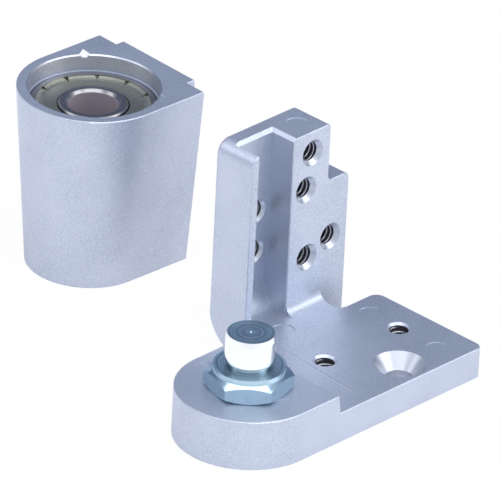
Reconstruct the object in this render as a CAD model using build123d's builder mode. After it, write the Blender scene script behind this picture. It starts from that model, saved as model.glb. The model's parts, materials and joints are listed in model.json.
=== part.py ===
from build123d import *
import math
import os

os.makedirs("parts", exist_ok=True)

# Offset bottom pivot set of an aluminium entrance door, millimetres.
# Origin: on the pivot pin's axis at the bracket's underside, +X along the plate away from the nose,
# +Y towards the leg, +Z up.  The door-side housing stands by itself behind the leg, mouth up.

# base bracket: plate and raised pad
base_width = 38.1
plate_length = 67.4          # pin axis to the plate's right end
plate_height = 8.5
plate_front_corner = 2.4
plate_back_corner = 2.8
pad_height = 13.7            # underside to the pad's top
pad_length = 13.6            # pin axis to the step's top edge
step_run = 0.7               # how far the step leans out towards the plate
casting_edge = 0.4           # radius on the casting's outer edges

# base bracket: leg
leg_left = 25.8
leg_front = 26.2
leg_depth = 13.1
leg_height = 59.5
heel_radius = 12.5
flange_wall = 2.6
flange_corner_radius = 4.0
channel_width = 12.5
channel_depth = 7.9
channel_floor_radius = 5.5
channel_edge = 0.5           # radius on the channel's front edges
channel_rim = 0.9            # chamfer on the channel's top edges
block_width = 13.6           # the right-hand block's full-height part
shoulder_width = 7.8         # how far the block widens below its ledge
shoulder_height = 42.9
notch_radius = 1.5
leg_corner_radius = 1.2      # block's top corner
shoulder_corner_radius = 2.0
leg_back_edge = 1.0          # radius round the leg's back face
tongue_inset = 0.9           # the tongue's right side, in from the block's
tongue_radius = 2.7          # plan radius from the plate's back edge into the leg
tongue_root_radius = 2.9     # fillet between the block's front face and the plate
tongue_overlap = 1.0         # how far the plate runs into the leg

# screw holes of the bracket
tap_drill = 5.1
leg_tap_mouth = 7.4
plate_tap_mouth = 6.3
tap_mouth_angle = 90
high_taps = [(7.1, 6.3), (5.3, 16.4)]        # channel's right wall, and down from the leg's top
low_taps = [(15.3, 17.5), (6.8, 14.4)]       # channel's right wall, and up from the plate
plate_taps = [(36.3, 2.7), (9.6, 2.0)]       # back from the plate's right end, and the pin's line
channel_tap_mouth = 6.7
channel_tap_offset = 1.7                     # right of the channel's middle
channel_tap_rises = [28.5, 16.8]             # up from the plate
screw_hole = 7.2
screw_head = 13.8
screw_head_angle = 82
screw_inset = 23.1                           # back from the plate's right end
screw_edge = 7.85                            # in from the plate's front edge

# round marks of the mould's ejector pins, sunk into the faces
ejector_mark = 6.4
ejector_depth = 0.2
plate_marks = [(9.2, 12.4), (9.7, -11.7)]    # back from the plate's right end, and the pin's line
tongue_mark = (6.35, 5.3)                    # left of the channel's right wall, and before the leg
pad_mark_reach = 13.1                        # from the pin's line, both ways
leg_mark = (7.1, 5.9)                        # right of the channel, and behind the leg's front

# pivot pin
pin_diameter = 13.0
pin_rise = 9.2               # above the collar
pin_lead = 1.55              # length of the taper at the pin's end
pin_lead_angle = 13
pin_heel = 0.3               # chamfer at the pin's lower edge
pin_centre_diameter = 0.9
pin_neck_diameter = 10.6
pin_neck_height = 1.35
collar_height = 1.45         # round collar on the hexagon
hex_across_flats = 20.2
hex_height = 5.05
hex_crown = 18.7             # diameter of the collar
hex_foot = 19.6              # diameter of the hexagon's flat underside
hex_crown_angle = 30
hex_turn = 12.9              # angle of one corner from +X
shank_diameter = 11.0
shank_length = 10.6
shank_clearance = 0.05
shank_tip = 1.0
shank_end_gap = 0.5

# bearing
bore_clearance = 0.05        # pin in the inner ring, radial
bearing_outer = 33.8
bearing_width = 10.0
inner_ring_outer = 18.3
outer_ring_inner = 28.2
ring_edge = 0.4
bore_edge = 0.7              # chamfer at both ends of the inner ring's bore
ball_diameter = 6.35
ball_count = 7
ball_clearance = 0.04
cage_sheet = 0.6
cage_band = 3.0
cage_clearance = 0.12
rivet_diameter = 1.0
rivet_head = 1.6
rivet_head_height = 0.35
shield_sheet = 0.4
shield_sink = 0.6            # ring face down to the shield's flat
shield_gap = 0.35            # shield to the inner ring, radial
shield_band_width = 1.9      # sloping band inside the rim
shield_rim_land = 0.3
shield_rim_width = 1.0
shield_rim_height = 1.15
shield_rim_sink = 0.15
shield_seat_clearance = 0.04
crimp_count = 11
crimp_start = 43.9           # angle of the first crimp from the housing's back
crimp_width = 1.5            # at the rim, narrowing to a point
crimp_reach = 2.0            # from the rim inwards
crimp_drop = 0.95

# door-side housing
housing_x = 34.9
housing_y = 92.1
housing_yaw = -3.0
housing_height = 50.8
housing_mouth_radius = 20.2  # nose radius at the mouth
nose_draft = 4.4             # degrees, nose and both sides
housing_back = 20.2          # bearing axis to the back face
rib_reach = 2.6
rib_width = 27.4
mouth_bore = 34.5
mouth_edge = 0.35
housing_edge = 0.3           # radius round the mouth's outer edge
bearing_recess = 4.7         # mouth down to the bearing
stake_width = 3.4            # V nick in the mouth's edge
stake_depth = 0.9
stake_reach = 3.2            # from the mouth's bore outwards
stake_angle = 56             # round from the housing's back
seat_clearance = 0.03
pocket_diameter = 25.0
pocket_depth = 6.0
rib_tap_spread = 22.0        # between the two screw holes in the back
rib_tap_height = 25.4
rib_tap_depth = 9.0

half_width = base_width / 2
leg_back = leg_front + leg_depth
channel_left = leg_left + flange_wall
channel_right = channel_left + channel_width
channel_back = leg_front + channel_depth
block_right = channel_right + block_width
tongue_right = block_right - tongue_inset
shoulder_right = block_right + shoulder_width


def on_plane(edge, axis, value):
    """Whether an edge lies in the plane where the named coordinate has this value."""
    return all(abs(getattr(edge @ t, axis) - value) < 0.001 for t in (0, 0.5, 1))


def facing_front(x, y, z):
    """A plane at a point, facing the bracket's front."""
    return Plane(origin=(x, y, z), z_dir=(0, -1, 0))


# base bracket, first its plate: rounded nose, square right end, tongue back into the leg
with BuildPart() as plate:
    with BuildSketch() as plate_plan:
        Circle(half_width)
        with Locations((plate_length / 2, 0)):
            Rectangle(plate_length, base_width)
        with Locations(((leg_left + tongue_right) / 2, (leg_front + tongue_overlap) / 2)):
            Rectangle(tongue_right - leg_left, leg_front + tongue_overlap)
        room = min(plate_length - plate_back_corner - tongue_right, leg_front - half_width)
        for x, y, radius in [(plate_length, -half_width, plate_front_corner),
                             (plate_length, half_width, plate_back_corner),
                             (tongue_right, half_width, min(tongue_radius, 0.9 * room))]:
            fillet(plate_plan.vertices().sort_by_distance((x, y))[0], radius)
    extrude(amount=plate_height)
    top = plate.edges().group_by(Axis.Z)[-1]
    fillet(top.filter_by(lambda e: (e @ 0.5).Y < leg_front), casting_edge)

with BuildPart() as base_bracket:
    # leg, seen from the front
    with BuildSketch(Plane.XZ.offset(-leg_front)) as leg_front_view:
        with BuildLine():
            Polyline((leg_left, 0), (shoulder_right, 0), (shoulder_right, shoulder_height),
                     (block_right, shoulder_height), (block_right, leg_height),
                     (leg_left, leg_height), close=True)
        make_face()
        for x, z, radius in [(leg_left, leg_height, flange_corner_radius),
                             (block_right, shoulder_height, notch_radius),
                             (block_right, leg_height, leg_corner_radius),
                             (shoulder_right, shoulder_height, shoulder_corner_radius)]:
            fillet(leg_front_view.vertices().sort_by_distance((x, z))[0], radius)
    extrude(amount=-leg_depth)
    for y, radius in ((leg_front, casting_edge), (leg_back, leg_back_edge)):
        outline = base_bracket.edges().filter_by(lambda e: on_plane(e, "Y", y) and (e @ 0.5).Z > 0.01)
        fillet(outline, radius)
    # rounded heel under the back
    with BuildSketch(Plane.YZ.offset(leg_left)):
        with BuildLine():
            RadiusArc((leg_back - heel_radius, 0), (leg_back, heel_radius), -heel_radius)
            Polyline((leg_back, heel_radius), (leg_back, 0), (leg_back - heel_radius, 0))
        make_face()
    extrude(amount=shoulder_right - leg_left, mode=Mode.SUBTRACT)
    add(plate.part)
    # raised pad round the pin, with a leaning step
    with BuildSketch():
        Circle(half_width)
        with Locations(((pad_length + step_run) / 2, 0)):
            Rectangle(pad_length + step_run, base_width)
        with Locations(((pad_length + step_run - half_width) / 2, 0)):
            Rectangle(half_width + pad_length + step_run, base_width, mode=Mode.INTERSECT)
    extrude(amount=pad_height)
    with BuildSketch(Plane.XZ):
        with BuildLine():
            Polyline((pad_length, pad_height), (pad_length + step_run, plate_height),
                     (pad_length + step_run, pad_height), close=True)
        make_face()
    extrude(amount=half_width, both=True, mode=Mode.SUBTRACT)
    # channel down the leg, its floor swept out onto the plate
    with BuildSketch(Plane.YZ.offset(channel_left)):
        with BuildLine():
            sweep_start = (channel_back - channel_floor_radius, plate_height)
            sweep_end = (channel_back, plate_height + channel_floor_radius)
            above = leg_height + 1
            Line((leg_front, plate_height), sweep_start)
            RadiusArc(sweep_start, sweep_end, -channel_floor_radius)
            Polyline(sweep_end, (channel_back, above), (leg_front, above), (leg_front, plate_height))
        make_face()
    extrude(amount=channel_width, mode=Mode.SUBTRACT)
    # fillet between the block's front face and the plate
    with BuildSketch(Plane.YZ.offset(channel_right)):
        with BuildLine():
            root_front = (leg_front - tongue_root_radius, plate_height)
            root_top = (leg_front, plate_height + tongue_root_radius)
            RadiusArc(root_front, root_top, -tongue_root_radius)
            Polyline(root_top, (leg_front, plate_height), root_front)
        make_face()
    extrude(amount=tongue_right - channel_right)
    # soft edges of the casting
    level = base_bracket.edges().filter_by(lambda e: on_plane(e, "Z", pad_height))
    fillet(level, casting_edge)
    # rounded front edges of the channel
    with BuildSketch(Plane.XY.offset(leg_height)):
        for wall, inwards in ((channel_left, -1), (channel_right, 1)):
            with BuildLine():
                start = (wall + inwards * channel_edge, leg_front)
                end = (wall, leg_front + channel_edge)
                RadiusArc(start, end, inwards * channel_edge)
                Polyline(end, (wall, leg_front), start)
            make_face()
    extrude(amount=plate_height - leg_height, mode=Mode.SUBTRACT)
    # chamfer round the channel's top
    with BuildSketch(Plane.XY.offset(leg_height - channel_rim)):
        with Locations(((channel_left + channel_right) / 2, channel_back)):
            Rectangle(channel_width, 2 * channel_depth, align=(Align.CENTER, Align.MAX))
    extrude(amount=channel_rim, taper=-45, mode=Mode.SUBTRACT)
    # pin hole, blind
    with Locations((0, 0, pad_height)):
        Hole(shank_diameter / 2 + shank_clearance, shank_length + shank_end_gap)
    # tapped holes through the leg and the plate
    leg_taps = [(inset, leg_height - drop) for inset, drop in high_taps]
    leg_taps += [(inset, plate_height + rise) for inset, rise in low_taps]
    for inset, height in leg_taps:
        with Locations(facing_front(channel_right + inset, leg_front, height)):
            CounterSinkHole(tap_drill / 2, leg_tap_mouth / 2, leg_depth, tap_mouth_angle)
    for inset, y in plate_taps:
        with Locations((plate_length - inset, y, plate_height)):
            CounterSinkHole(tap_drill / 2, plate_tap_mouth / 2, plate_height, tap_mouth_angle)
    for rise in channel_tap_rises:
        middle = (channel_left + channel_right) / 2 + channel_tap_offset
        with Locations(facing_front(middle, channel_back, plate_height + rise)):
            CounterSinkHole(tap_drill / 2, channel_tap_mouth / 2, leg_back - channel_back, tap_mouth_angle)
    # ejector marks
    tongue_at = (channel_right - tongue_mark[0], leg_front - tongue_mark[1])
    leg_at = (channel_right + leg_mark[0], leg_front + leg_mark[1])
    marks = [(plate_length - inset, y, plate_height) for inset, y in plate_marks]
    marks += [(*tongue_at, plate_height), (*leg_at, leg_height)]
    marks += [(0, side * pad_mark_reach, pad_height) for side in (1, -1)]
    with Locations(*marks):
        Hole(ejector_mark / 2, ejector_depth)
    # countersunk floor screw
    with Locations((plate_length - screw_inset, screw_edge - half_width, plate_height)):
        CounterSinkHole(screw_hole / 2, screw_head / 2, plate_height, screw_head_angle)

# pivot pin: hexagon, then the turned shank, collar, neck and pin
hex_top = pad_height + hex_height
collar_top = hex_top + collar_height
pin_foot = collar_top + pin_neck_height
pin_top = collar_top + pin_rise
lead_width = pin_lead * math.tan(math.radians(pin_lead_angle))
hex_corner = hex_across_flats / math.sqrt(3)
crown_drop = (hex_corner - hex_crown / 2) * math.tan(math.radians(hex_crown_angle))
foot_rise = (hex_corner - hex_foot / 2) * math.tan(math.radians(hex_crown_angle))
with BuildPart() as pivot_pin:
    with BuildSketch(Plane.XY.offset(pad_height)):
        RegularPolygon(hex_across_flats / 2, 6, major_radius=False, rotation=hex_turn)
    extrude(amount=hex_height)
    with BuildSketch(Plane.XZ):
        with BuildLine():
            Polyline((0, pad_height), (hex_foot / 2, pad_height),
                     (hex_corner, pad_height + foot_rise), (hex_corner, hex_top - crown_drop),
                     (hex_crown / 2, hex_top), (0, hex_top), close=True)
        make_face()
    revolve(axis=Axis.Z, mode=Mode.INTERSECT)
    with BuildSketch(Plane.XZ):
        with BuildLine():
            shank_end = pad_height - shank_length
            Polyline((0, shank_end), (shank_diameter / 2 - shank_tip, shank_end),
                     (shank_diameter / 2, shank_end + shank_tip), (shank_diameter / 2, pad_height),
                     (hex_crown / 2, pad_height), (hex_crown / 2, collar_top),
                     (pin_neck_diameter / 2, collar_top), (pin_neck_diameter / 2, pin_foot),
                     (pin_diameter / 2 - pin_heel, pin_foot), (pin_diameter / 2, pin_foot + pin_heel),
                     (pin_diameter / 2, pin_top - pin_lead), (pin_diameter / 2 - lead_width, pin_top),
                     (pin_centre_diameter / 2, pin_top), (0, pin_top - pin_centre_diameter / 2), close=True)
        make_face()
    revolve(axis=Axis.Z)

# door-side housing, on a plane of its own: nose towards -X, back face towards +X
turn = math.radians(housing_yaw)
home = Plane(origin=(housing_x, housing_y, 0), x_dir=(math.cos(turn), math.sin(turn), 0), z_dir=(0, 0, 1))
across = Plane(origin=home.origin, x_dir=home.x_dir, z_dir=-home.y_dir)
axle = Axis(home.origin, home.z_dir)
foot_radius = housing_mouth_radius - housing_height * math.tan(math.radians(nose_draft))
bearing_top = housing_height - bearing_recess
bearing_foot = bearing_top - bearing_width
with BuildPart() as door_housing:
    for level, radius in [(0, foot_radius), (housing_height, housing_mouth_radius)]:
        with BuildSketch(home.offset(level)):
            Circle(radius)
            with Locations((housing_back / 2, 0)):
                Rectangle(housing_back, 2 * radius)
    loft(ruled=True)
    with BuildSketch(home):
        with Locations((housing_back + rib_reach / 2, 0)):
            Rectangle(rib_reach, rib_width)
    extrude(amount=housing_height)
    fillet(door_housing.edges().filter_by(lambda e: on_plane(e, "Z", housing_height)), housing_edge)
    for diameter, depth in [(mouth_bore, bearing_recess),
                            (bearing_outer + 2 * seat_clearance, bearing_recess + bearing_width),
                            (pocket_diameter, bearing_recess + bearing_width + pocket_depth)]:
        with BuildSketch(home.offset(housing_height)):
            Circle(diameter / 2)
        extrude(amount=-depth, mode=Mode.SUBTRACT)
    mouth = door_housing.edges().filter_by(GeomType.CIRCLE).group_by(Axis.Z)[-1].sort_by(SortBy.RADIUS)[0]
    chamfer(mouth, mouth_edge)
    # V nick in the mouth's edge, rising outwards to a point
    outwards = home.x_dir.rotate(Axis.Z, stake_angle)
    edge_of_bore = home.origin + outwards * (mouth_bore / 2) + home.z_dir * (housing_height - stake_depth)
    rising = outwards * stake_reach + home.z_dir * stake_depth
    with BuildSketch(Plane(origin=edge_of_bore, x_dir=home.z_dir.cross(outwards), z_dir=rising)):
        Polygon((0, 0), (stake_width, 2 * stake_depth), (-stake_width, 2 * stake_depth), align=None)
    extrude(amount=stake_reach + stake_depth, mode=Mode.SUBTRACT)
    back = Plane(origin=home.from_local_coords((housing_back + rib_reach, 0, rib_tap_height)),
                 x_dir=home.y_dir, z_dir=home.x_dir)
    with Locations(back):
        with GridLocations(rib_tap_spread, 0, 2, 1):
            CounterSinkHole(tap_drill / 2, plate_tap_mouth / 2, rib_tap_depth, tap_mouth_angle)

# bearing rings: half sections in the plane across, turned about the axle
ball_circle = (pin_diameter + 2 * bore_clearance + bearing_outer) / 4
bearing_middle = (bearing_top + bearing_foot) / 2
race = ball_diameter / 2 + ball_clearance
shield_seat = shield_rim_sink + shield_rim_height
rim_outer = outer_ring_inner / 2 + shield_rim_width - shield_seat_clearance


with BuildPart() as bearing_inner_ring:
    inner_bore = pin_diameter / 2 + bore_clearance
    with BuildSketch(across) as inner_section:
        with Locations(((inner_bore + inner_ring_outer / 2) / 2, bearing_middle)):
            Rectangle(inner_ring_outer / 2 - inner_bore, bearing_width)
        chamfer(inner_section.vertices().group_by(Axis.X)[0], bore_edge)
        chamfer(inner_section.vertices().group_by(Axis.X)[-1], ring_edge)
        with Locations((ball_circle, bearing_middle)):
            Circle(race, mode=Mode.SUBTRACT)
    revolve(axis=axle)

with BuildPart() as bearing_outer_ring:
    with BuildSketch(across) as outer_section:
        with Locations(((outer_ring_inner + bearing_outer) / 4, bearing_middle)):
            Rectangle((bearing_outer - outer_ring_inner) / 2, bearing_width)
        chamfer(outer_section.vertices().group_by(Axis.X)[-1], ring_edge)
        with Locations((ball_circle, bearing_middle)):
            Circle(race, mode=Mode.SUBTRACT)
        for height in (bearing_foot + shield_seat / 2, bearing_top - shield_seat / 2):
            with Locations(((outer_ring_inner + shield_rim_width) / 2, height)):
                Rectangle(shield_rim_width, shield_seat, mode=Mode.SUBTRACT)
    revolve(axis=axle)

# upper shield, crimped into the outer ring; the lower one is its mirror image
with BuildPart() as shield_upper:
    shield_inner = inner_ring_outer / 2 + shield_gap
    shield_flat = bearing_top - shield_sink
    rim_inner = rim_outer - shield_rim_width
    rim_foot = bearing_top - shield_seat
    rim_top = bearing_top - shield_rim_sink
    with BuildSketch(across):
        with BuildLine():
            Polyline((shield_inner, shield_flat - shield_sheet), (shield_inner, shield_flat),
                     (rim_outer - shield_band_width, shield_flat), (rim_outer - shield_rim_land, rim_top),
                     (rim_outer, rim_top), (rim_outer, rim_foot), (rim_inner, rim_foot),
                     (rim_inner, shield_flat - shield_sheet), close=True)
        make_face()
    revolve(axis=axle)
    with BuildSketch(home.offset(bearing_top)):
        with PolarLocations(rim_outer, crimp_count, start_angle=crimp_start):
            Polygon((shield_seat_clearance, crimp_width / 2), (-crimp_reach, 0),
                    (shield_seat_clearance, -crimp_width / 2), align=None)
    extrude(amount=-crimp_drop, mode=Mode.SUBTRACT)
with BuildPart() as shield_lower:
    add(mirror(shield_upper.part, about=home.offset(bearing_middle), mode=Mode.PRIVATE))

# balls and the riveted ribbon cage
with BuildPart() as ball:
    with Locations(home.offset(bearing_middle)):
        with Locations((ball_circle, 0, 0)):
            Sphere(ball_diameter / 2)
balls = [ball.part.rotate(axle, i * 360 / ball_count) for i in range(ball_count)]
with BuildPart() as cage_upper:
    with BuildSketch(home.offset(bearing_middle)) as band:
        Circle(ball_circle + cage_band / 2)
        Circle(ball_circle - cage_band / 2, mode=Mode.SUBTRACT)
    extrude(amount=cage_sheet)
    pocket = ball_diameter / 2 + cage_clearance
    pocket_axes = [Plane(origin=(housing_x, housing_y, bearing_middle),
                         z_dir=home.x_dir.rotate(Axis.Z, i * 360 / ball_count)) for i in range(ball_count)]
    for outward in pocket_axes:
        with BuildSketch(outward):
            Circle(pocket + cage_sheet)
        extrude(amount=ball_circle + ball_diameter)
    extrude(band.sketch, amount=ball_diameter, mode=Mode.INTERSECT)
    for outward in pocket_axes:
        with BuildSketch(outward):
            Circle(pocket)
        extrude(amount=ball_circle + ball_diameter, mode=Mode.SUBTRACT)
    with Locations(home.offset(bearing_middle)):
        with PolarLocations(ball_circle, ball_count, start_angle=180 / ball_count):
            Hole(rivet_diameter / 2, 2 * cage_sheet)
with BuildPart() as cage_lower:
    add(mirror(cage_upper.part, about=home.offset(bearing_middle), mode=Mode.PRIVATE))
with BuildPart() as cage_rivets:
    with BuildSketch(home.offset(bearing_middle)):
        with PolarLocations(ball_circle, ball_count, start_angle=180 / ball_count):
            Circle(rivet_diameter / 2)
    extrude(amount=cage_sheet, both=True)
    for side in (1, -1):
        with BuildSketch(home.offset(bearing_middle + side * cage_sheet)):
            with PolarLocations(ball_circle, ball_count, start_angle=180 / ball_count):
                Circle(rivet_head / 2)
        extrude(amount=side * rivet_head_height)

pieces = {"base_bracket": base_bracket.part, "pivot_pin": pivot_pin.part, "door_housing": door_housing.part,
          "bearing_inner_ring": bearing_inner_ring.part, "bearing_outer_ring": bearing_outer_ring.part,
          "shield_upper": shield_upper.part, "shield_lower": shield_lower.part,
          "cage_upper": cage_upper.part, "cage_lower": cage_lower.part, "cage_rivets": cage_rivets.part}
for i, one in enumerate(balls):
    pieces[f"ball_{i + 1}"] = one
for name, piece in pieces.items():
    piece.label = name
    export_step(piece, f"parts/{name}.step")
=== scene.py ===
"""Offset bottom door pivot: finishes, screw threads and studio, set round the CAD frame."""

import json
import math

import bmesh
import bpy
from mathutils import Matrix, Vector


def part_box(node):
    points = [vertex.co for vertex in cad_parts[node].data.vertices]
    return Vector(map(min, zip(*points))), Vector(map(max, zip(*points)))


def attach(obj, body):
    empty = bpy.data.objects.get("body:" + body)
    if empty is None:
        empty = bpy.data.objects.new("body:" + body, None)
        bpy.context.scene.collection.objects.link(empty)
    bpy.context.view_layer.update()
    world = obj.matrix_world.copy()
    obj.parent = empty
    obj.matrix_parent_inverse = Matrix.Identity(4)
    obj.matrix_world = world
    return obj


bl_info = {
    "name": "Offset Bottom Pivot Finishes",
    "version": (1, 0, 0),
    "blender": (4, 5, 0),
    "location": "3D View > Sidebar > Pivot",
    "description": "Finishes, threads and studio for an offset bottom door pivot",
    "category": "Object",
}

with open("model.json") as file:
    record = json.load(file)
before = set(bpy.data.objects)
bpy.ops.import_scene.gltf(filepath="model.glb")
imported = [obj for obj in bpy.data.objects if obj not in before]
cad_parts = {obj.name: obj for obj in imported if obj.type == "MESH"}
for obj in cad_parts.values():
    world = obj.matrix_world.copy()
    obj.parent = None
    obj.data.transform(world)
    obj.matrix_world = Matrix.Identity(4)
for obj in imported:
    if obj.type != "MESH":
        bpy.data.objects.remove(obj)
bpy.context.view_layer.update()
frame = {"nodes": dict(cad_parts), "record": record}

MM = 0.001
MOUNTS = {mount["name"]: mount for mount in frame["record"]["mounts"]}

# heights in millimetres, from the floor
HOUSING_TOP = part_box("door_housing")[1][2] / MM
PIN_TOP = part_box("pivot_pin")[1][2] / MM
PLATE_TOP = 8.5

# cut surfaces of the castings, in millimetres
MOUTHS = {"leg_tap": 3.72, "channel_tap": 3.37, "housing_tap": 3.0, "floor_screw": 6.92}
TAP_SLOPE = 1.0              # depth of a countersink for each millimetre of radius
SCREW_SLOPE = 1.16
RIM_MARGIN = 0.02            # how far a mouth's mask reaches past the foot of its cone
# the tapped holes' walls take a near-black colour as painted shade, from just short of the far end to
# the mouth
WALL_MARGIN = 0.05           # how far a bore's mask reaches into the wall
EXIT_MARGIN = 0.3            # the far end of a hole, where the finish goes round the edge
LIP_EDGE = 0.36              # depth of the bare edge round the housing's mouth
LIP_RADIUS = 17.62
NICK_ANGLE = 53.0            # direction of the nick in the housing's lip, from +X
NICK_REACH = 18.9            # from the bearing's axis
NICK_RADIUS = 1.9
NICK_DEPTH = 0.95
NICK_MARGIN = 0.01           # how far under the housing's top the nick's mask ends

# fine lines on the castings, in millimetres: two ends, width, and height or depth
SCORES = (((27.0, 13.0, PLATE_TOP), (25.1, -13.1, PLATE_TOP), 0.35, 0.1),
          ((44.4, 77.1, HOUSING_TOP), (44.4, 75.6, HOUSING_TOP), 0.22, -0.15))

# masks on the pin, in millimetres: the shank takes a lighter copy of the plating as painted highlight,
# the end and the collar's upper face a darker one as painted shade
SHANK_FOOT = 20.25           # height from the floor
SHANK_RADIUS = 6.7
SHANK_MARGIN = 0.02          # how far under the pin's end the shank's mask stops
END_DEPTH = 0.03
END_REACH = 0.1              # how far above the pin's end its masks go
CENTRE_RADIUS = 0.6          # drilled centre in the pin's end
CENTRE_DEPTH = 1.0
COLLAR_TOP = 20.2            # height from the floor
COLLAR_RADIUS = 9.6
COLLAR_MARGIN = 0.05         # above and below the collar's upper face

# blasted grain
COARSE_RATE = 0.35           # scale of the coarse grain against the fine one
COARSE_SHARE = 0.4
FINE_SHARE = 0.6
FLECK_RANGE = (0.38, 0.66)   # noise values that give a full dark and a full bright fleck
NOISE_RANGE = (0.3, 0.7)     # where most of a noise's values lie

# turned rings
RING_RATE = 0.9              # turns of noise for each turn of the tool
WAVE_SHARE = 0.25
EYE_RADIUS = 0.0012          # metres from the axis within which the rings fade

# silver finish
CLOUD_SIZE = 0.014           # metres
CLOUD_SHARE = 0.35
CLOUD_GAIN = 1.06
TORN_METAL = (0.95, 0.95, 0.97)
TORN_LOSS = 0.6              # how much less metallic torn metal looks
FINISH_METAL = 0.85
FLECK_ROUGH = 0.05           # added to the roughness in a dark fleck
FLECK_SMOOTH = 0.02          # taken off it in a bright one
CUT_ROUGHNESS = 0.36
CUTTER_RELIEF = 0.000004     # height in metres of the rings in a cut mouth

# threads: the ridge's widths and start are shares of the pitch
THREAD_FOOT = 0.34           # half the ridge's width at the wall
THREAD_CREST = 0.06          # half its width at the top
THREAD_START = 0.5           # how far below the mouth the ridge starts
THREAD_FADE = 0.5            # turns in which it rises from the wall
WALL_OVERLAP = 0.00004       # metres that its foot stands in the wall
THREAD_CLOUD = 0.004         # metres
THREAD_DARK = 0.7            # brightness of the darker clouds
THREAD_ROUGHNESS = (0.34, 0.24)
THREAD_RELIEF = 0.000004

# zinc plating
PLATING_DARK = 0.85
PLATING_ROUGHNESS = (0.2, 0.1)
END_RANGE = (0.35, 0.65)
# darkest and lightest share of the end colour, the painted shade on the pin's top faces
END_CONTRAST = (0.7, 1.35)
END_DULL = 0.16              # added to the roughness on the turned ends
PLATING_RELIEF = 0.000006
END_RELIEF = 0.00007

# bearing steels: a lighter copy of the steel, painted light, inside or outside a radius in millimetres,
# the feed in metres, the least and most roughness, and the lighter copy's metal and added roughness
RING_LOOK = {"radius": 6.6, "inner": True, "feed": 0.0004, "smooth": 0.2, "rough": 0.3,
             "metal": 0.78, "dull": 0.25}
SHIELD_LOOK = {"radius": 13.2, "inner": False, "feed": 0.0009, "smooth": 0.3, "rough": 0.42,
               "metal": 1.0, "dull": -0.1}
BEARING_REACH = 0.008        # half the height within which the masks work, in metres
STEEL_DARK = 0.8
STEEL_RELIEF = 0.000008

# studio, in metres
FLOOR_REACH = 8              # from its middle to each side
FLOOR_COLOUR = (0.9, 0.9, 0.91)
FLOOR_ROUGHNESS = 0.9
NEAR_WAY = (-0.6, -0.75, 0.28)   # direction from the part to the near wall
WALL_RANGE = (-0.45, 0.35)       # where the far wall's colour ends and the near wall's begins
LAMP_TARGET = (0.02, 0.04, 0.02)
# each lamp's name, place, width and power setting
LAMPS = (("Overhead", (-0.1, -0.1, 1.0), 1.0, "overhead_power"),
         ("Side", (0.60, -0.75, 0.74), 0.8, "side_power"),
         ("Left", (-0.59, 0.71, 0.77), 0.5, "left_power"))
CAMERA_PLACE = (-1.946317, -1.804349, 1.501326)
CAMERA_RIGHT = (0.69722, -0.71546, 0.044684)
CAMERA_BACK = (-0.643425, -0.5971, 0.479036)
SENSOR_WIDTH = 36            # millimetres
NEAREST = 0.05
FARTHEST = 50


class CastingSettings(bpy.types.PropertyGroup):
    """Silver finish of the bracket and the housing"""

    colour: bpy.props.FloatVectorProperty(
        name="Colour", description="Base colour of the silver finish", subtype="COLOR",
        size=3, min=0, max=1, default=(0.665, 0.70, 0.79))
    shade: bpy.props.FloatVectorProperty(
        name="Dark fleck", description="Colour of the darker flecks", subtype="COLOR",
        size=3, min=0, max=1, default=(0.46, 0.50, 0.585))
    cut: bpy.props.FloatVectorProperty(
        name="Cut metal", description="Colour of the metal laid bare by drills and cutters",
        subtype="COLOR", size=3, min=0, max=1, default=(0.55, 0.57, 0.62))
    # painted shade: a near-black colour laid on the tapped holes' walls, standing in for the shade
    # inside them
    hole_shade: bpy.props.FloatVectorProperty(
        name="Hole wall", description="Colour deep in the drilled holes", subtype="COLOR",
        size=3, min=0, max=1, default=(0.14, 0.12, 0.13))
    grain: bpy.props.FloatProperty(
        name="Grain size", description="Width of one grain of the blasted surface",
        subtype="DISTANCE", unit="LENGTH", min=0.00005, max=0.01, default=0.00028)
    relief: bpy.props.FloatProperty(
        name="Grain depth", description="Height of the grain", subtype="DISTANCE", unit="LENGTH",
        min=0, max=0.001, default=0.00005)
    roughness: bpy.props.FloatProperty(
        name="Roughness", description="Spread of the finish's reflections", min=0, max=1, default=0.4)


class SteelSettings(bpy.types.PropertyGroup):
    """Plated pin, bearing rings and shields"""

    plating: bpy.props.FloatVectorProperty(
        name="Plating", description="Colour of the plated hexagon and collar", subtype="COLOR",
        size=3, min=0, max=1, default=(0.58, 0.75, 0.84))
    # painted highlight: a near-white copy of the plating on the shank, for the white that its sides
    # reflect
    shank: bpy.props.FloatVectorProperty(
        name="Shank", description="Colour of the pin's bright running surface", subtype="COLOR",
        size=3, min=0, max=1, default=(0.96, 0.97, 0.96))
    # painted shade: a dark teal copy of the plating on the pin's end and the collar's upper face, for
    # the dim light that these top faces get
    end: bpy.props.FloatVectorProperty(
        name="Turned ends", description="Colour of the pin's end and of the collar's upper face",
        subtype="COLOR", size=3, min=0, max=1, default=(0.27, 0.38, 0.46))
    ring: bpy.props.FloatVectorProperty(
        name="Ring", description="Colour of the bearing rings", subtype="COLOR",
        size=3, min=0, max=1, default=(0.34, 0.33, 0.335))
    shield: bpy.props.FloatVectorProperty(
        name="Shield", description="Colour of the pressed shields", subtype="COLOR",
        size=3, min=0, max=1, default=(0.38, 0.37, 0.30))
    # painted highlight: a lighter copy of the shield steel on the shield's rolled outer edge
    band_highlight: bpy.props.FloatVectorProperty(
        name="Shield band", description="Colour of the shield's bright rolled edge", subtype="COLOR",
        size=3, min=0, max=1, default=(0.62, 0.60, 0.45))
    # painted light: a lighter, less metallic copy of the ring steel on the inner ring's bore, for light
    # in the bore
    bore: bpy.props.FloatVectorProperty(
        name="Bore", description="Colour of the inner ring's bore", subtype="COLOR",
        size=3, min=0, max=1, default=(0.62, 0.55, 0.59))
    feed: bpy.props.FloatProperty(
        name="Tool feed", description="Spacing of the turned rings on the pin's end",
        subtype="DISTANCE", unit="LENGTH", min=0.00001, max=0.01, default=0.0006)


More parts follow.
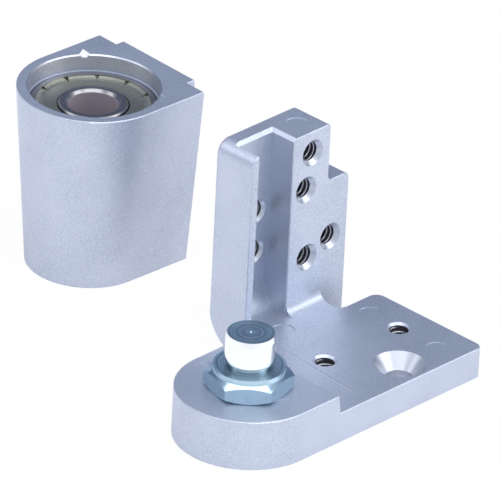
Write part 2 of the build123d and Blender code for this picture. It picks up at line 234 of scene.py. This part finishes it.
class ThreadSettings(bpy.types.PropertyGroup):
    """Threads in the screw holes"""

    pitch: bpy.props.FloatProperty(
        name="Pitch", description="Distance from one thread turn to the next", subtype="DISTANCE",
        unit="LENGTH", min=0.0002, max=0.01, default=0.00127)
    depth: bpy.props.FloatProperty(
        name="Depth", description="How far the thread stands in from the hole's wall",
        subtype="DISTANCE", unit="LENGTH", min=0.00005, max=0.002, default=0.00035)
    steps: bpy.props.IntProperty(
        name="Steps", description="Segments in one turn of the thread", min=8, max=96, default=36)


class StudioSettings(bpy.types.PropertyGroup):
    """Floor, lamps and camera"""

    floor_glow: bpy.props.FloatProperty(
        name="Floor white", description="How much of the floor shows as plain white", min=0, max=1,
        default=0.96)
    floor_mirror: bpy.props.FloatProperty(
        name="Floor white in reflections", description="How much of that white shows in the metal",
        min=0, max=1, default=0.35)
    overhead_power: bpy.props.FloatProperty(
        name="Overhead power", description="Power of the large soft lamp above the part",
        subtype="POWER", unit="POWER", min=0, default=5.5)
    side_power: bpy.props.FloatProperty(
        name="Side power", description="Power of the soft lamp in front, to the right",
        subtype="POWER", unit="POWER", min=0, default=4.0)
    left_power: bpy.props.FloatProperty(
        name="Left power", description="Power of the soft lamp behind, to the left",
        subtype="POWER", unit="POWER", min=0, default=1.2)
    near_wall: bpy.props.FloatVectorProperty(
        name="Near wall", description="Studio wall on the camera's side", subtype="COLOR", size=3,
        min=0, max=1, default=(0.74, 0.80, 0.92))
    far_wall: bpy.props.FloatVectorProperty(
        name="Far wall", description="Studio wall behind the part", subtype="COLOR", size=3,
        min=0, max=1, default=(0.18, 0.225, 0.34))
    lens: bpy.props.FloatProperty(
        name="Lens", description="Focal length in millimetres", min=10, max=5000, default=863.99)


def settings():
    """The add-on's settings in this scene."""
    scene = bpy.context.scene
    return scene.pivot_casting, scene.pivot_steel, scene.pivot_thread, scene.pivot_studio


# node groups


def new_group(name, inputs, outputs):
    """A shader node group with float, colour or vector sockets, and its two end nodes."""
    group = bpy.data.node_groups.new(name, "ShaderNodeTree")
    for label, kind, value in inputs:
        socket = group.interface.new_socket(name=label, in_out="INPUT", socket_type=kind)
        if value is not None:
            socket.default_value = value
    for label, kind in outputs:
        group.interface.new_socket(name=label, in_out="OUTPUT", socket_type=kind)
    return group, group.nodes.new("NodeGroupInput"), group.nodes.new("NodeGroupOutput")


def math_node(tree, operation, *values):
    """A Math node with its values or links set, giving its output."""
    node = tree.nodes.new("ShaderNodeMath")
    node.operation = operation
    for socket, value in zip(node.inputs, values):
        if isinstance(value, bpy.types.NodeSocket):
            tree.links.new(value, socket)
        else:
            socket.default_value = value
    return node.outputs[0]


def map_range(tree, value, low, high, new_low=0.0, new_high=1.0):
    """A value stretched from one range to another and held inside it."""
    node = tree.nodes.new("ShaderNodeMapRange")
    ends = {"From Min": low, "From Max": high, "To Min": new_low, "To Max": new_high}
    for label, number in ends.items():
        node.inputs[label].default_value = number
    tree.links.new(value, node.inputs["Value"])
    return node.outputs["Result"]


def mix_colours(tree, factor, first, second):
    """A colour mix of two plain colours or links."""
    mix = tree.nodes.new("ShaderNodeMix")
    mix.data_type = "RGBA"
    tree.links.new(factor, mix.inputs["Factor"])
    # a Mix node has an A, a B and a Result for each type of data: these are the colour ones
    for socket, value in ((mix.inputs[6], first), (mix.inputs[7], second)):
        if isinstance(value, bpy.types.NodeSocket):
            tree.links.new(value, socket)
        else:
            socket.default_value = (*value, 1)
    return mix.outputs[2]


def grain_group():
    """Blasted, flecked surface: a fleck mask, a slow cloud mask and a height."""
    if "Cast Grain" in bpy.data.node_groups:
        return bpy.data.node_groups["Cast Grain"]
    group, start, end = new_group(
        "Cast Grain",
        [("Grain Size", "NodeSocketFloat", 0.0004), ("Cloud Size", "NodeSocketFloat", 0.012)],
        [("Fleck", "NodeSocketFloat"), ("Cloud", "NodeSocketFloat"), ("Height", "NodeSocketFloat")])
    place = group.nodes.new("ShaderNodeTexCoord").outputs["Object"]

    def noise(scale, detail, roughness):
        node = group.nodes.new("ShaderNodeTexNoise")
        node.inputs["Detail"].default_value = detail
        node.inputs["Roughness"].default_value = roughness
        group.links.new(place, node.inputs["Vector"])
        group.links.new(scale, node.inputs["Scale"])
        return node.outputs["Fac"]

    fine = math_node(group, "DIVIDE", 1.0, start.outputs["Grain Size"])
    slow = math_node(group, "DIVIDE", 1.0, start.outputs["Cloud Size"])
    fleck = noise(fine, detail=2.0, roughness=0.6)
    wide = math_node(group, "MULTIPLY", fine, COARSE_RATE)
    coarse = noise(wide, detail=3.0, roughness=0.55)
    height = math_node(group, "ADD", math_node(group, "MULTIPLY", fleck, FINE_SHARE),
                       math_node(group, "MULTIPLY", coarse, COARSE_SHARE))
    group.links.new(map_range(group, fleck, *FLECK_RANGE), end.inputs["Fleck"])
    group.links.new(noise(slow, detail=2.0, roughness=0.5), end.inputs["Cloud"])
    group.links.new(height, end.inputs["Height"])
    return group


def turned_group():
    """Rings left by a turning tool round an upright axis: a height and a mask."""
    if "Turned Rings" in bpy.data.node_groups:
        return bpy.data.node_groups["Turned Rings"]
    group, start, end = new_group(
        "Turned Rings",
        [("Centre", "NodeSocketVector", None), ("Feed", "NodeSocketFloat", 0.0005)],
        [("Height", "NodeSocketFloat"), ("Mask", "NodeSocketFloat")])
    place = group.nodes.new("ShaderNodeTexCoord").outputs["Object"]
    offset = group.nodes.new("ShaderNodeVectorMath")
    offset.operation = "SUBTRACT"
    group.links.new(place, offset.inputs[0])
    group.links.new(start.outputs["Centre"], offset.inputs[1])
    parts = group.nodes.new("ShaderNodeSeparateXYZ")
    group.links.new(offset.outputs["Vector"], parts.inputs["Vector"])
    squares = math_node(group, "ADD", math_node(group, "POWER", parts.outputs["X"], 2.0),
                        math_node(group, "POWER", parts.outputs["Y"], 2.0))
    radius = math_node(group, "SQRT", squares)
    turns = math_node(group, "DIVIDE", radius, start.outputs["Feed"])
    wave = math_node(group, "SINE", math_node(group, "MULTIPLY", turns, 2 * math.pi))
    noise = group.nodes.new("ShaderNodeTexNoise")
    noise.noise_dimensions = "1D"
    noise.inputs["Scale"].default_value = 1.0
    noise.inputs["Detail"].default_value = 3.0
    group.links.new(math_node(group, "MULTIPLY", turns, RING_RATE), noise.inputs["W"])
    mixed = math_node(group, "ADD", math_node(group, "MULTIPLY", wave, WAVE_SHARE),
                      noise.outputs["Fac"])
    eye = map_range(group, radius, 0.0, EYE_RADIUS)
    eye.node.interpolation_type = "SMOOTHSTEP"
    group.links.new(math_node(group, "MULTIPLY", mixed, eye), end.inputs["Height"])
    group.links.new(noise.outputs["Fac"], end.inputs["Mask"])
    return group


def segment_nodes(group, place, start, end):
    """Distance from a point to the segment between two points, and how far along it the point is."""
    def vector(operation, first, second=None):
        node = group.nodes.new("ShaderNodeVectorMath")
        node.operation = operation
        group.links.new(first, node.inputs[0])
        if second is not None:
            group.links.new(second, node.inputs["Scale" if operation == "SCALE" else 1])
        return node.outputs["Value" if operation in ("DOT_PRODUCT", "LENGTH") else "Vector"]

    run = vector("SUBTRACT", end, start)
    offset = vector("SUBTRACT", place, start)
    along = math_node(group, "DIVIDE", vector("DOT_PRODUCT", offset, run),
                      vector("DOT_PRODUCT", run, run))
    held = math_node(group, "MINIMUM", math_node(group, "MAXIMUM", along, 0.0), 1.0)
    distance = vector("LENGTH", vector("SUBTRACT", offset, vector("SCALE", run, held)))
    return distance, along, vector("LENGTH", run)


def cutter_group():
    """Where a round cutter went in from one point to another: a mask, and the rings that it left."""
    if "Cutter Marks" in bpy.data.node_groups:
        return bpy.data.node_groups["Cutter Marks"]
    group, start, end = new_group(
        "Cutter Marks",
        [("From", "NodeSocketVector", None), ("To", "NodeSocketVector", None),
         ("Radius", "NodeSocketFloat", 0.003), ("Feed", "NodeSocketFloat", 0.0002)],
        [("Mask", "NodeSocketFloat"), ("Rings", "NodeSocketFloat")])
    place = group.nodes.new("ShaderNodeTexCoord").outputs["Object"]
    distance, along, length = segment_nodes(group, place, start.outputs["From"], start.outputs["To"])
    between = math_node(group, "LESS_THAN",
                        math_node(group, "ABSOLUTE", math_node(group, "SUBTRACT", along, 0.5)), 0.5)
    inside = math_node(group, "LESS_THAN", distance, start.outputs["Radius"])
    mask = math_node(group, "MULTIPLY", between, inside)
    depth = math_node(group, "MULTIPLY", along, length)
    turns = math_node(group, "DIVIDE", math_node(group, "ADD", distance, depth), start.outputs["Feed"])
    noise = group.nodes.new("ShaderNodeTexNoise")
    noise.noise_dimensions = "1D"
    noise.inputs["Scale"].default_value = 1.0
    group.links.new(turns, noise.inputs["W"])
    group.links.new(mask, end.inputs["Mask"])
    group.links.new(math_node(group, "MULTIPLY", mask, noise.outputs["Fac"]), end.inputs["Rings"])
    return group


def score_group():
    """A fine line between two points: 1 on the line, falling to 0 at its edge."""
    if "Scored Line" in bpy.data.node_groups:
        return bpy.data.node_groups["Scored Line"]
    group, start, end = new_group(
        "Scored Line",
        [("From", "NodeSocketVector", None), ("To", "NodeSocketVector", None),
         ("Width", "NodeSocketFloat", 0.0002)],
        [("Mask", "NodeSocketFloat")])
    place = group.nodes.new("ShaderNodeTexCoord").outputs["Object"]
    distance = segment_nodes(group, place, start.outputs["From"], start.outputs["To"])[0]
    part = math_node(group, "DIVIDE", distance, start.outputs["Width"])
    group.links.new(math_node(group, "MAXIMUM", math_node(group, "SUBTRACT", 1.0, part), 0.0),
                    end.inputs["Mask"])
    return group


# materials


def new_material(name):
    """An empty node material with its shader: the material, its tree and the Principled node."""
    material = bpy.data.materials.new(name)
    material.use_nodes = True
    tree = material.node_tree
    return material, tree, tree.nodes["Principled BSDF"]


def place_group(tree, group, **values):
    """The group in this tree with its inputs set by name."""
    node = tree.nodes.new("ShaderNodeGroup")
    node.node_tree = group
    for label, value in values.items():
        node.inputs[label.replace("_", " ")].default_value = value
    return node


def add_bump(tree, height, shader, distance=1.0):
    """Relief on the shader's normal: distance is the height in metres of one unit."""
    bump = tree.nodes.new("ShaderNodeBump")
    bump.inputs["Distance"].default_value = distance
    tree.links.new(height, bump.inputs["Height"])
    tree.links.new(bump.outputs["Normal"], shader.inputs["Normal"])


def upright(height):
    """A vector straight up, of this height: from the origin it ends on the pin's axis."""
    return Vector((0, 0, height))


def cutter_runs():
    """Start, end and radius in millimetres of the bare mouths, of the tapped holes' walls that are
    painted dark as shade, and of the nick.
    """
    mouths, shaded_bores = [], []
    for name, mount in MOUNTS.items():
        if mount["kind"] not in ("bore", "threaded_hole"):
            continue
        axis = Vector(mount["axis"])
        bore = mount["dims"]["r_mm"]
        half = mount["dims"]["length_mm"] / 2
        middle = Vector(mount["pos_m"]) / MM
        rim = middle + axis * half
        mouth = next((radius for key, radius in MOUTHS.items() if name.startswith(key)), None)
        if mouth is not None:
            slope = SCREW_SLOPE if mount["kind"] == "bore" else TAP_SLOPE
            outer = rim + axis * ((mouth - bore) * slope)
            mouths.append((rim - axis * RIM_MARGIN, outer, mouth))
        # painted shade on each tapped hole's wall
        if mount["kind"] == "threaded_hole":
            shaded_bores.append((middle - axis * (half - EXIT_MARGIN), rim, bore + WALL_MARGIN))
    lip = Vector(MOUNTS["bearing_bore"]["pos_m"]) / MM
    lip.z = HOUSING_TOP
    mouths.append((lip - upright(LIP_EDGE), lip, LIP_RADIUS))
    angle = math.radians(NICK_ANGLE)
    nick = lip + Vector((math.cos(angle), math.sin(angle), 0)) * NICK_REACH
    nicks = [(nick - upright(NICK_DEPTH), nick - upright(NICK_MARGIN), NICK_RADIUS)]
    return mouths, shaded_bores, nicks


def largest(tree, sockets):
    """The largest of several values."""
    whole = sockets[0]
    for socket in sockets[1:]:
        whole = math_node(tree, "MAXIMUM", whole, socket)
    return whole


def cut_masks(tree, runs):
    """Masks of all these cuts together, and of their rings."""
    marks = [place_group(tree, cutter_group(), From=first * MM, To=last * MM, Radius=radius * MM)
             for first, last, radius in runs]
    return [largest(tree, [mark.outputs[label] for mark in marks]) for label in ("Mask", "Rings")]


def casting_material():
    """Silver finish over a blasted casting, with bare metal where it was drilled or turned, and painted
    shade deep in the tapped holes.
    """
    casting = settings()[0]
    material, tree, shader = new_material("Silver Casting")
    grain = place_group(tree, grain_group(), Grain_Size=casting.grain, Cloud_Size=CLOUD_SIZE)
    mouths, shaded_bores, nicks = cutter_runs()
    bare, rings = cut_masks(tree, mouths)
    # mask of the tapped holes' walls, which take a near-black colour as painted shade
    deep = cut_masks(tree, shaded_bores)[0]
    torn = cut_masks(tree, nicks)[0]
    coat = math_node(tree, "SUBTRACT", 1.0, bare)

    flecks = mix_colours(tree, grain.outputs["Fleck"], casting.shade, casting.colour)
    cloud = map_range(tree, grain.outputs["Cloud"], *NOISE_RANGE, 0.0, CLOUD_SHARE)
    pale = [min(1.0, part * CLOUD_GAIN) for part in casting.colour]
    finish = mix_colours(tree, cloud, flecks, pale)
    laid_bare = mix_colours(tree, bare, finish, casting.cut)
    # painted shade: the near-black hole colour over the holes' walls
    holes = mix_colours(tree, deep, laid_bare, casting.hole_shade)
    tree.links.new(mix_colours(tree, torn, holes, TORN_METAL), shader.inputs["Base Color"])

    metal = map_range(tree, bare, 0.0, 1.0, FINISH_METAL, 1.0)
    loss = math_node(tree, "MULTIPLY", torn, TORN_LOSS)
    tree.links.new(math_node(tree, "SUBTRACT", metal, loss), shader.inputs["Metallic"])

    rough = map_range(tree, grain.outputs["Fleck"], 0.0, 1.0,
                      casting.roughness + FLECK_ROUGH, casting.roughness - FLECK_SMOOTH)
    coated = math_node(tree, "MULTIPLY", rough, coat)
    cut = math_node(tree, "MULTIPLY", bare, CUT_ROUGHNESS)
    tree.links.new(math_node(tree, "ADD", coated, cut), shader.inputs["Roughness"])

    blasted = math_node(tree, "MULTIPLY", grain.outputs["Height"], coat)
    height = math_node(tree, "ADD", math_node(tree, "MULTIPLY", blasted, casting.relief),
                       math_node(tree, "MULTIPLY", rings, CUTTER_RELIEF))
    for first, last, width, relief in SCORES:
        line = place_group(tree, score_group(), From=Vector(first) * MM, To=Vector(last) * MM,
                           Width=width * MM)
        score = math_node(tree, "MULTIPLY", line.outputs["Mask"], relief * MM)
        height = math_node(tree, "ADD", height, score)
    add_bump(tree, height, shader)
    return material


def thread_material():
    """Cut metal on the threads, with darker clouds."""
    casting = settings()[0]
    material, tree, shader = new_material("Cut Thread")
    grain = place_group(tree, grain_group(), Grain_Size=casting.grain, Cloud_Size=THREAD_CLOUD)
    dark = [part * THREAD_DARK for part in casting.cut]
    colour = mix_colours(tree, grain.outputs["Cloud"], dark, casting.cut)
    rough = map_range(tree, grain.outputs["Fleck"], 0.0, 1.0, *THREAD_ROUGHNESS)
    tree.links.new(colour, shader.inputs["Base Color"])
    tree.links.new(rough, shader.inputs["Roughness"])
    shader.inputs["Metallic"].default_value = 1.0
    add_bump(tree, grain.outputs["Height"], shader, THREAD_RELIEF)
    return material


def plated_material():
    """Zinc plating: a near-white copy on the shank as painted highlight, and a dark copy with dull
    turned rings on the ends as painted shade.
    """
    steel = settings()[1]
    material, tree, shader = new_material("Zinc Plating")
    rings = place_group(tree, turned_group(), Feed=steel.feed)
    # the shank, which takes the near-white shank colour as painted highlight
    shank_highlight_run = (upright(SHANK_FOOT), upright(PIN_TOP - SHANK_MARGIN), SHANK_RADIUS)
    # the pin's end, its drilled centre and the collar's upper face, which take the end colour as painted
    # shade
    top_shade_runs = [(upright(PIN_TOP - END_DEPTH), upright(PIN_TOP + END_REACH), SHANK_RADIUS),
                (upright(PIN_TOP - CENTRE_DEPTH), upright(PIN_TOP + END_REACH), CENTRE_RADIUS),
                (upright(COLLAR_TOP - COLLAR_MARGIN), upright(COLLAR_TOP + COLLAR_MARGIN),
                 COLLAR_RADIUS)]
    shank = cut_masks(tree, [shank_highlight_run])[0]
    ends = cut_masks(tree, top_shade_runs)[0]

    dark = [part * PLATING_DARK for part in steel.plating]
    plated = mix_colours(tree, rings.outputs["Mask"], dark, steel.plating)
    # painted highlight: the shank colour over the plating on the shank
    bright = mix_colours(tree, shank, plated, steel.shank)
    streaks = map_range(tree, rings.outputs["Mask"], *END_RANGE)
    # painted shade: a dark copy of the plating, streaked by the turned rings, for the pin's end and the
    # collar's upper face
    low, high = ([part * gain for part in steel.end] for gain in END_CONTRAST)
    turned = mix_colours(tree, streaks, low, high)
    tree.links.new(mix_colours(tree, ends, bright, turned), shader.inputs["Base Color"])
    shader.inputs["Metallic"].default_value = 1.0

    sheen = map_range(tree, rings.outputs["Mask"], *NOISE_RANGE, *PLATING_ROUGHNESS)
    dull = math_node(tree, "MULTIPLY", ends, END_DULL)
    tree.links.new(math_node(tree, "ADD", sheen, dull), shader.inputs["Roughness"])
    relief = map_range(tree, ends, 0.0, 1.0, PLATING_RELIEF, END_RELIEF)
    add_bump(tree, math_node(tree, "MULTIPLY", rings.outputs["Height"], relief), shader)
    return material


def ring_material(name, colour, painted_light, look):
    """Bearing steel with faint rings about the bearing's axis, and on part of it a lighter copy of the
    steel as painted light.
    """
    material, tree, shader = new_material(name)
    centre = Vector(MOUNTS["bearing_bore"]["pos_m"])
    rings = place_group(tree, turned_group(), Feed=look["feed"], Centre=centre)
    reach = upright(BEARING_REACH)
    marks = place_group(tree, cutter_group(), From=centre - reach, To=centre + reach,
                        Radius=look["radius"] * MM)
    mask = marks.outputs["Mask"]
    if not look["inner"]:
        mask = math_node(tree, "SUBTRACT", 1.0, mask)

    dark = [part * STEEL_DARK for part in colour]
    first = mix_colours(tree, rings.outputs["Mask"], dark, colour)
    # painted light: the lighter copy on the bore or on the shield's rolled edge
    tree.links.new(mix_colours(tree, mask, first, painted_light), shader.inputs["Base Color"])
    tree.links.new(map_range(tree, mask, 0.0, 1.0, 1.0, look["metal"]), shader.inputs["Metallic"])
    sheen = map_range(tree, rings.outputs["Mask"], *NOISE_RANGE, look["rough"], look["smooth"])
    dull = math_node(tree, "MULTIPLY", mask, look["dull"])
    tree.links.new(math_node(tree, "ADD", sheen, dull), shader.inputs["Roughness"])
    add_bump(tree, rings.outputs["Height"], shader, STEEL_RELIEF)
    return material


def dress(nodes, material):
    """Gives CAD nodes this material."""
    for name in nodes:
        mesh = frame["nodes"][name].data
        mesh.materials.clear()
        mesh.materials.append(material)


# pieces


def mesh_object(name, bm, material):
    """A smooth-shaded object from a bmesh."""
    mesh = bpy.data.meshes.new(name)
    bm.to_mesh(mesh)
    bm.free()
    for face in mesh.polygons:
        face.use_smooth = True
    mesh.materials.append(material)
    piece = bpy.data.objects.new(name, mesh)
    bpy.context.scene.collection.objects.link(piece)
    return piece


def add_helix(bm, mouth, axis, radius, length, pitch, depth, steps):
    """A closed ridge of triangular section wound inside a hole, from its mouth inwards."""
    axis = axis.normalized()
    across = axis.orthogonal().normalized()
    round_way = axis.cross(across)
    turns = int(length / pitch)
    previous = None
    for i in range(turns * steps + 1):
        angle = 2 * math.pi * i / steps
        outward = across * math.cos(angle) + round_way * math.sin(angle)
        centre = mouth - axis * (pitch * i / steps)
        rise = steps * THREAD_FADE
        fade = min(1.0, i / rise, (turns * steps - i) / rise)
        foot = radius + WALL_OVERLAP
        crest = radius - depth * fade
        corners = ((foot, -THREAD_FOOT), (crest, -THREAD_CREST), (crest, THREAD_CREST),
                   (foot, THREAD_FOOT))
        ring = [bm.verts.new(centre + outward * reach + axis * (pitch * share))
                for reach, share in corners]
        if previous:
            for j in range(len(ring)):
                after = (j + 1) % len(ring)
                bm.faces.new((previous[j], previous[after], ring[after], ring[j]))
        else:
            bm.faces.new(ring)
        previous = ring
    bm.faces.new(list(reversed(previous)))


class PIVOT_OT_finish_castings(bpy.types.Operator):
    """Gives the bracket and the housing their silver finish"""

    bl_idname = "pivot.finish_castings"
    bl_label = "Finish Castings"

    def execute(self, context):
        dress(["base_bracket", "door_housing"], casting_material())
        return {"FINISHED"}


class PIVOT_OT_finish_pin(bpy.types.Operator):
    """Gives the pivot pin its plating"""

    bl_idname = "pivot.finish_pin"
    bl_label = "Finish Pin"

    def execute(self, context):
        dress(["pivot_pin"], plated_material())
        return {"FINISHED"}


class PIVOT_OT_finish_bearing(bpy.types.Operator):
    """Gives the rings, shields, cage and balls their steels"""

    bl_idname = "pivot.finish_bearing"
    bl_label = "Finish Bearing"

    def execute(self, context):
        steel = settings()[1]
        # the bore and the shields' rolled edges take lighter copies of their steels as painted light
        ground = ring_material("Ring Steel", steel.ring, steel.bore, RING_LOOK)
        pressed = ring_material("Shield Steel", steel.shield, steel.band_highlight, SHIELD_LOOK)
        balls = [name for name in frame["nodes"] if name.startswith("ball_")]
        dress(["bearing_inner_ring", "bearing_outer_ring"] + balls, ground)
        dress(["shield_upper", "shield_lower", "cage_upper", "cage_lower", "cage_rivets"], pressed)
        return {"FINISHED"}


class PIVOT_OT_cut_threads(bpy.types.Operator):
    """Winds a thread inside each tapped hole"""

    bl_idname = "pivot.cut_threads"
    bl_label = "Cut Threads"

    def execute(self, context):
        thread = settings()[2]
        steel = thread_material()
        for name, mount in MOUNTS.items():
            if mount["kind"] != "threaded_hole":
                continue
            bm = bmesh.new()
            axis = Vector(mount["axis"])
            length = mount["dims"]["length_mm"] * MM
            mouth = Vector(mount["pos_m"]) + axis * (length / 2 - thread.pitch * THREAD_START)
            add_helix(bm, mouth, axis, mount["dims"]["r_mm"] * MM, length - thread.pitch, thread.pitch,
                      thread.depth, thread.steps)
            bmesh.ops.recalc_face_normals(bm, faces=bm.faces)
            piece = mesh_object(f"{name}_thread", bm, steel)
            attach(piece, "frame")
        return {"FINISHED"}


class PIVOT_OT_set_studio(bpy.types.Operator):
    """Sets the floor, the lamps, the world and the camera"""

    bl_idname = "pivot.set_studio"
    bl_label = "Set Studio"

    def execute(self, context):
        studio = settings()[3]
        scene = context.scene
        scene.view_settings.view_transform = "Standard"
        self.add_floor(studio)
        self.light_world(scene, studio)
        for name, place, width, power in LAMPS:
            self.add_lamp(scene, name, place, width, getattr(studio, power))
        self.add_camera(scene, studio)
        return {"FINISHED"}

    def add_floor(self, studio):
        """A large floor that is white to the camera, less so in reflections, and keeps a soft shadow."""
        bm = bmesh.new()
        bmesh.ops.create_grid(bm, x_segments=1, y_segments=1, size=FLOOR_REACH)
        material, tree, shader = new_material("Studio Floor")
        shader.inputs["Base Color"].default_value = (*FLOOR_COLOUR, 1)
        shader.inputs["Roughness"].default_value = FLOOR_ROUGHNESS
        shader.inputs["Specular IOR Level"].default_value = 0.0
        paths = tree.nodes.new("ShaderNodeLightPath")
        mirrored = math_node(tree, "MAXIMUM", paths.outputs["Is Glossy Ray"],
                             paths.outputs["Is Transmission Ray"])
        direct = math_node(tree, "MULTIPLY", paths.outputs["Is Camera Ray"], studio.floor_glow)
        indirect = math_node(tree, "MULTIPLY", mirrored, studio.floor_mirror)
        seen = math_node(tree, "MAXIMUM", direct, indirect)
        glow = tree.nodes.new("ShaderNodeEmission")
        mix = tree.nodes.new("ShaderNodeMixShader")
        tree.links.new(seen, mix.inputs[0])
        tree.links.new(shader.outputs[0], mix.inputs[1])
        tree.links.new(glow.outputs[0], mix.inputs[2])
        tree.links.new(mix.outputs[0], tree.nodes["Material Output"].inputs["Surface"])
        floor = mesh_object("studio_floor", bm, material)

    def light_world(self, scene, studio):
        """A pale studio on the camera's side, and a dim blue-grey one behind the part."""
        world = bpy.data.worlds.new("Studio")
        world.use_nodes = True
        scene.world = world
        tree = world.node_tree
        way = tree.nodes.new("ShaderNodeTexCoord")
        side = tree.nodes.new("ShaderNodeVectorMath")
        side.operation = "DOT_PRODUCT"
        side.inputs[1].default_value = Vector(NEAR_WAY).normalized()
        tree.links.new(way.outputs["Generated"], side.inputs[0])
        near = map_range(tree, side.outputs["Value"], *WALL_RANGE)
        sky = mix_colours(tree, near, studio.far_wall, studio.near_wall)
        tree.links.new(sky, tree.nodes["Background"].inputs["Color"])
        tree.nodes["Background"].inputs["Strength"].default_value = 1.0

    def add_lamp(self, scene, name, place, width, power):
        """A soft square lamp aimed at the part."""
        lamp = bpy.data.lights.new(name, "AREA")
        lamp.size = width
        lamp.energy = power
        holder = bpy.data.objects.new(name, lamp)
        holder.location = place
        aim = Vector(LAMP_TARGET) - Vector(place)
        holder.rotation_euler = aim.to_track_quat("-Z", "Y").to_euler()
        scene.collection.objects.link(holder)

    def add_camera(self, scene, studio):
        """A long lens at the photograph's angle."""
        data = bpy.data.cameras.new("Camera")
        data.lens = studio.lens
        data.sensor_width = SENSOR_WIDTH
        data.clip_start = NEAREST
        data.clip_end = FARTHEST
        camera = bpy.data.objects.new("Camera", data)
        right = Vector(CAMERA_RIGHT)
        back = Vector(CAMERA_BACK)
        turn = Matrix((right, back.cross(right), back)).transposed().to_4x4()
        camera.matrix_world = Matrix.Translation(CAMERA_PLACE) @ turn
        scene.collection.objects.link(camera)
        scene.camera = camera


class PIVOT_PT_panel(bpy.types.Panel):
    """The pivot's sizes, colours and steps"""

    bl_idname = "PIVOT_PT_panel"
    bl_label = "Bottom Pivot"
    bl_space_type = "VIEW_3D"
    bl_region_type = "UI"
    bl_category = "Pivot"

    def draw(self, context):
        layout = self.layout
        for group in settings():
            box = layout.box()
            for key in group.__annotations__:
                box.prop(group, key)
        for step in STEPS:
            layout.operator(step.bl_idname)


STEPS = (PIVOT_OT_set_studio, PIVOT_OT_finish_castings, PIVOT_OT_finish_pin, PIVOT_OT_finish_bearing,
         PIVOT_OT_cut_threads)
GROUPS = (("pivot_casting", CastingSettings), ("pivot_steel", SteelSettings),
          ("pivot_thread", ThreadSettings), ("pivot_studio", StudioSettings))


def register():
    for name, group in GROUPS:
        bpy.utils.register_class(group)
        setattr(bpy.types.Scene, name, bpy.props.PointerProperty(type=group))
    for step in STEPS + (PIVOT_PT_panel,):
        bpy.utils.register_class(step)


def unregister():
    for step in reversed(STEPS + (PIVOT_PT_panel,)):
        bpy.utils.unregister_class(step)
    for name, group in reversed(GROUPS):
        delattr(bpy.types.Scene, name)
        bpy.utils.unregister_class(group)


def main():
    register()
    for step in STEPS:
        group, action = step.bl_idname.split(".")
        getattr(getattr(bpy.ops, group), action)()


if __name__ == "__main__":
    main()
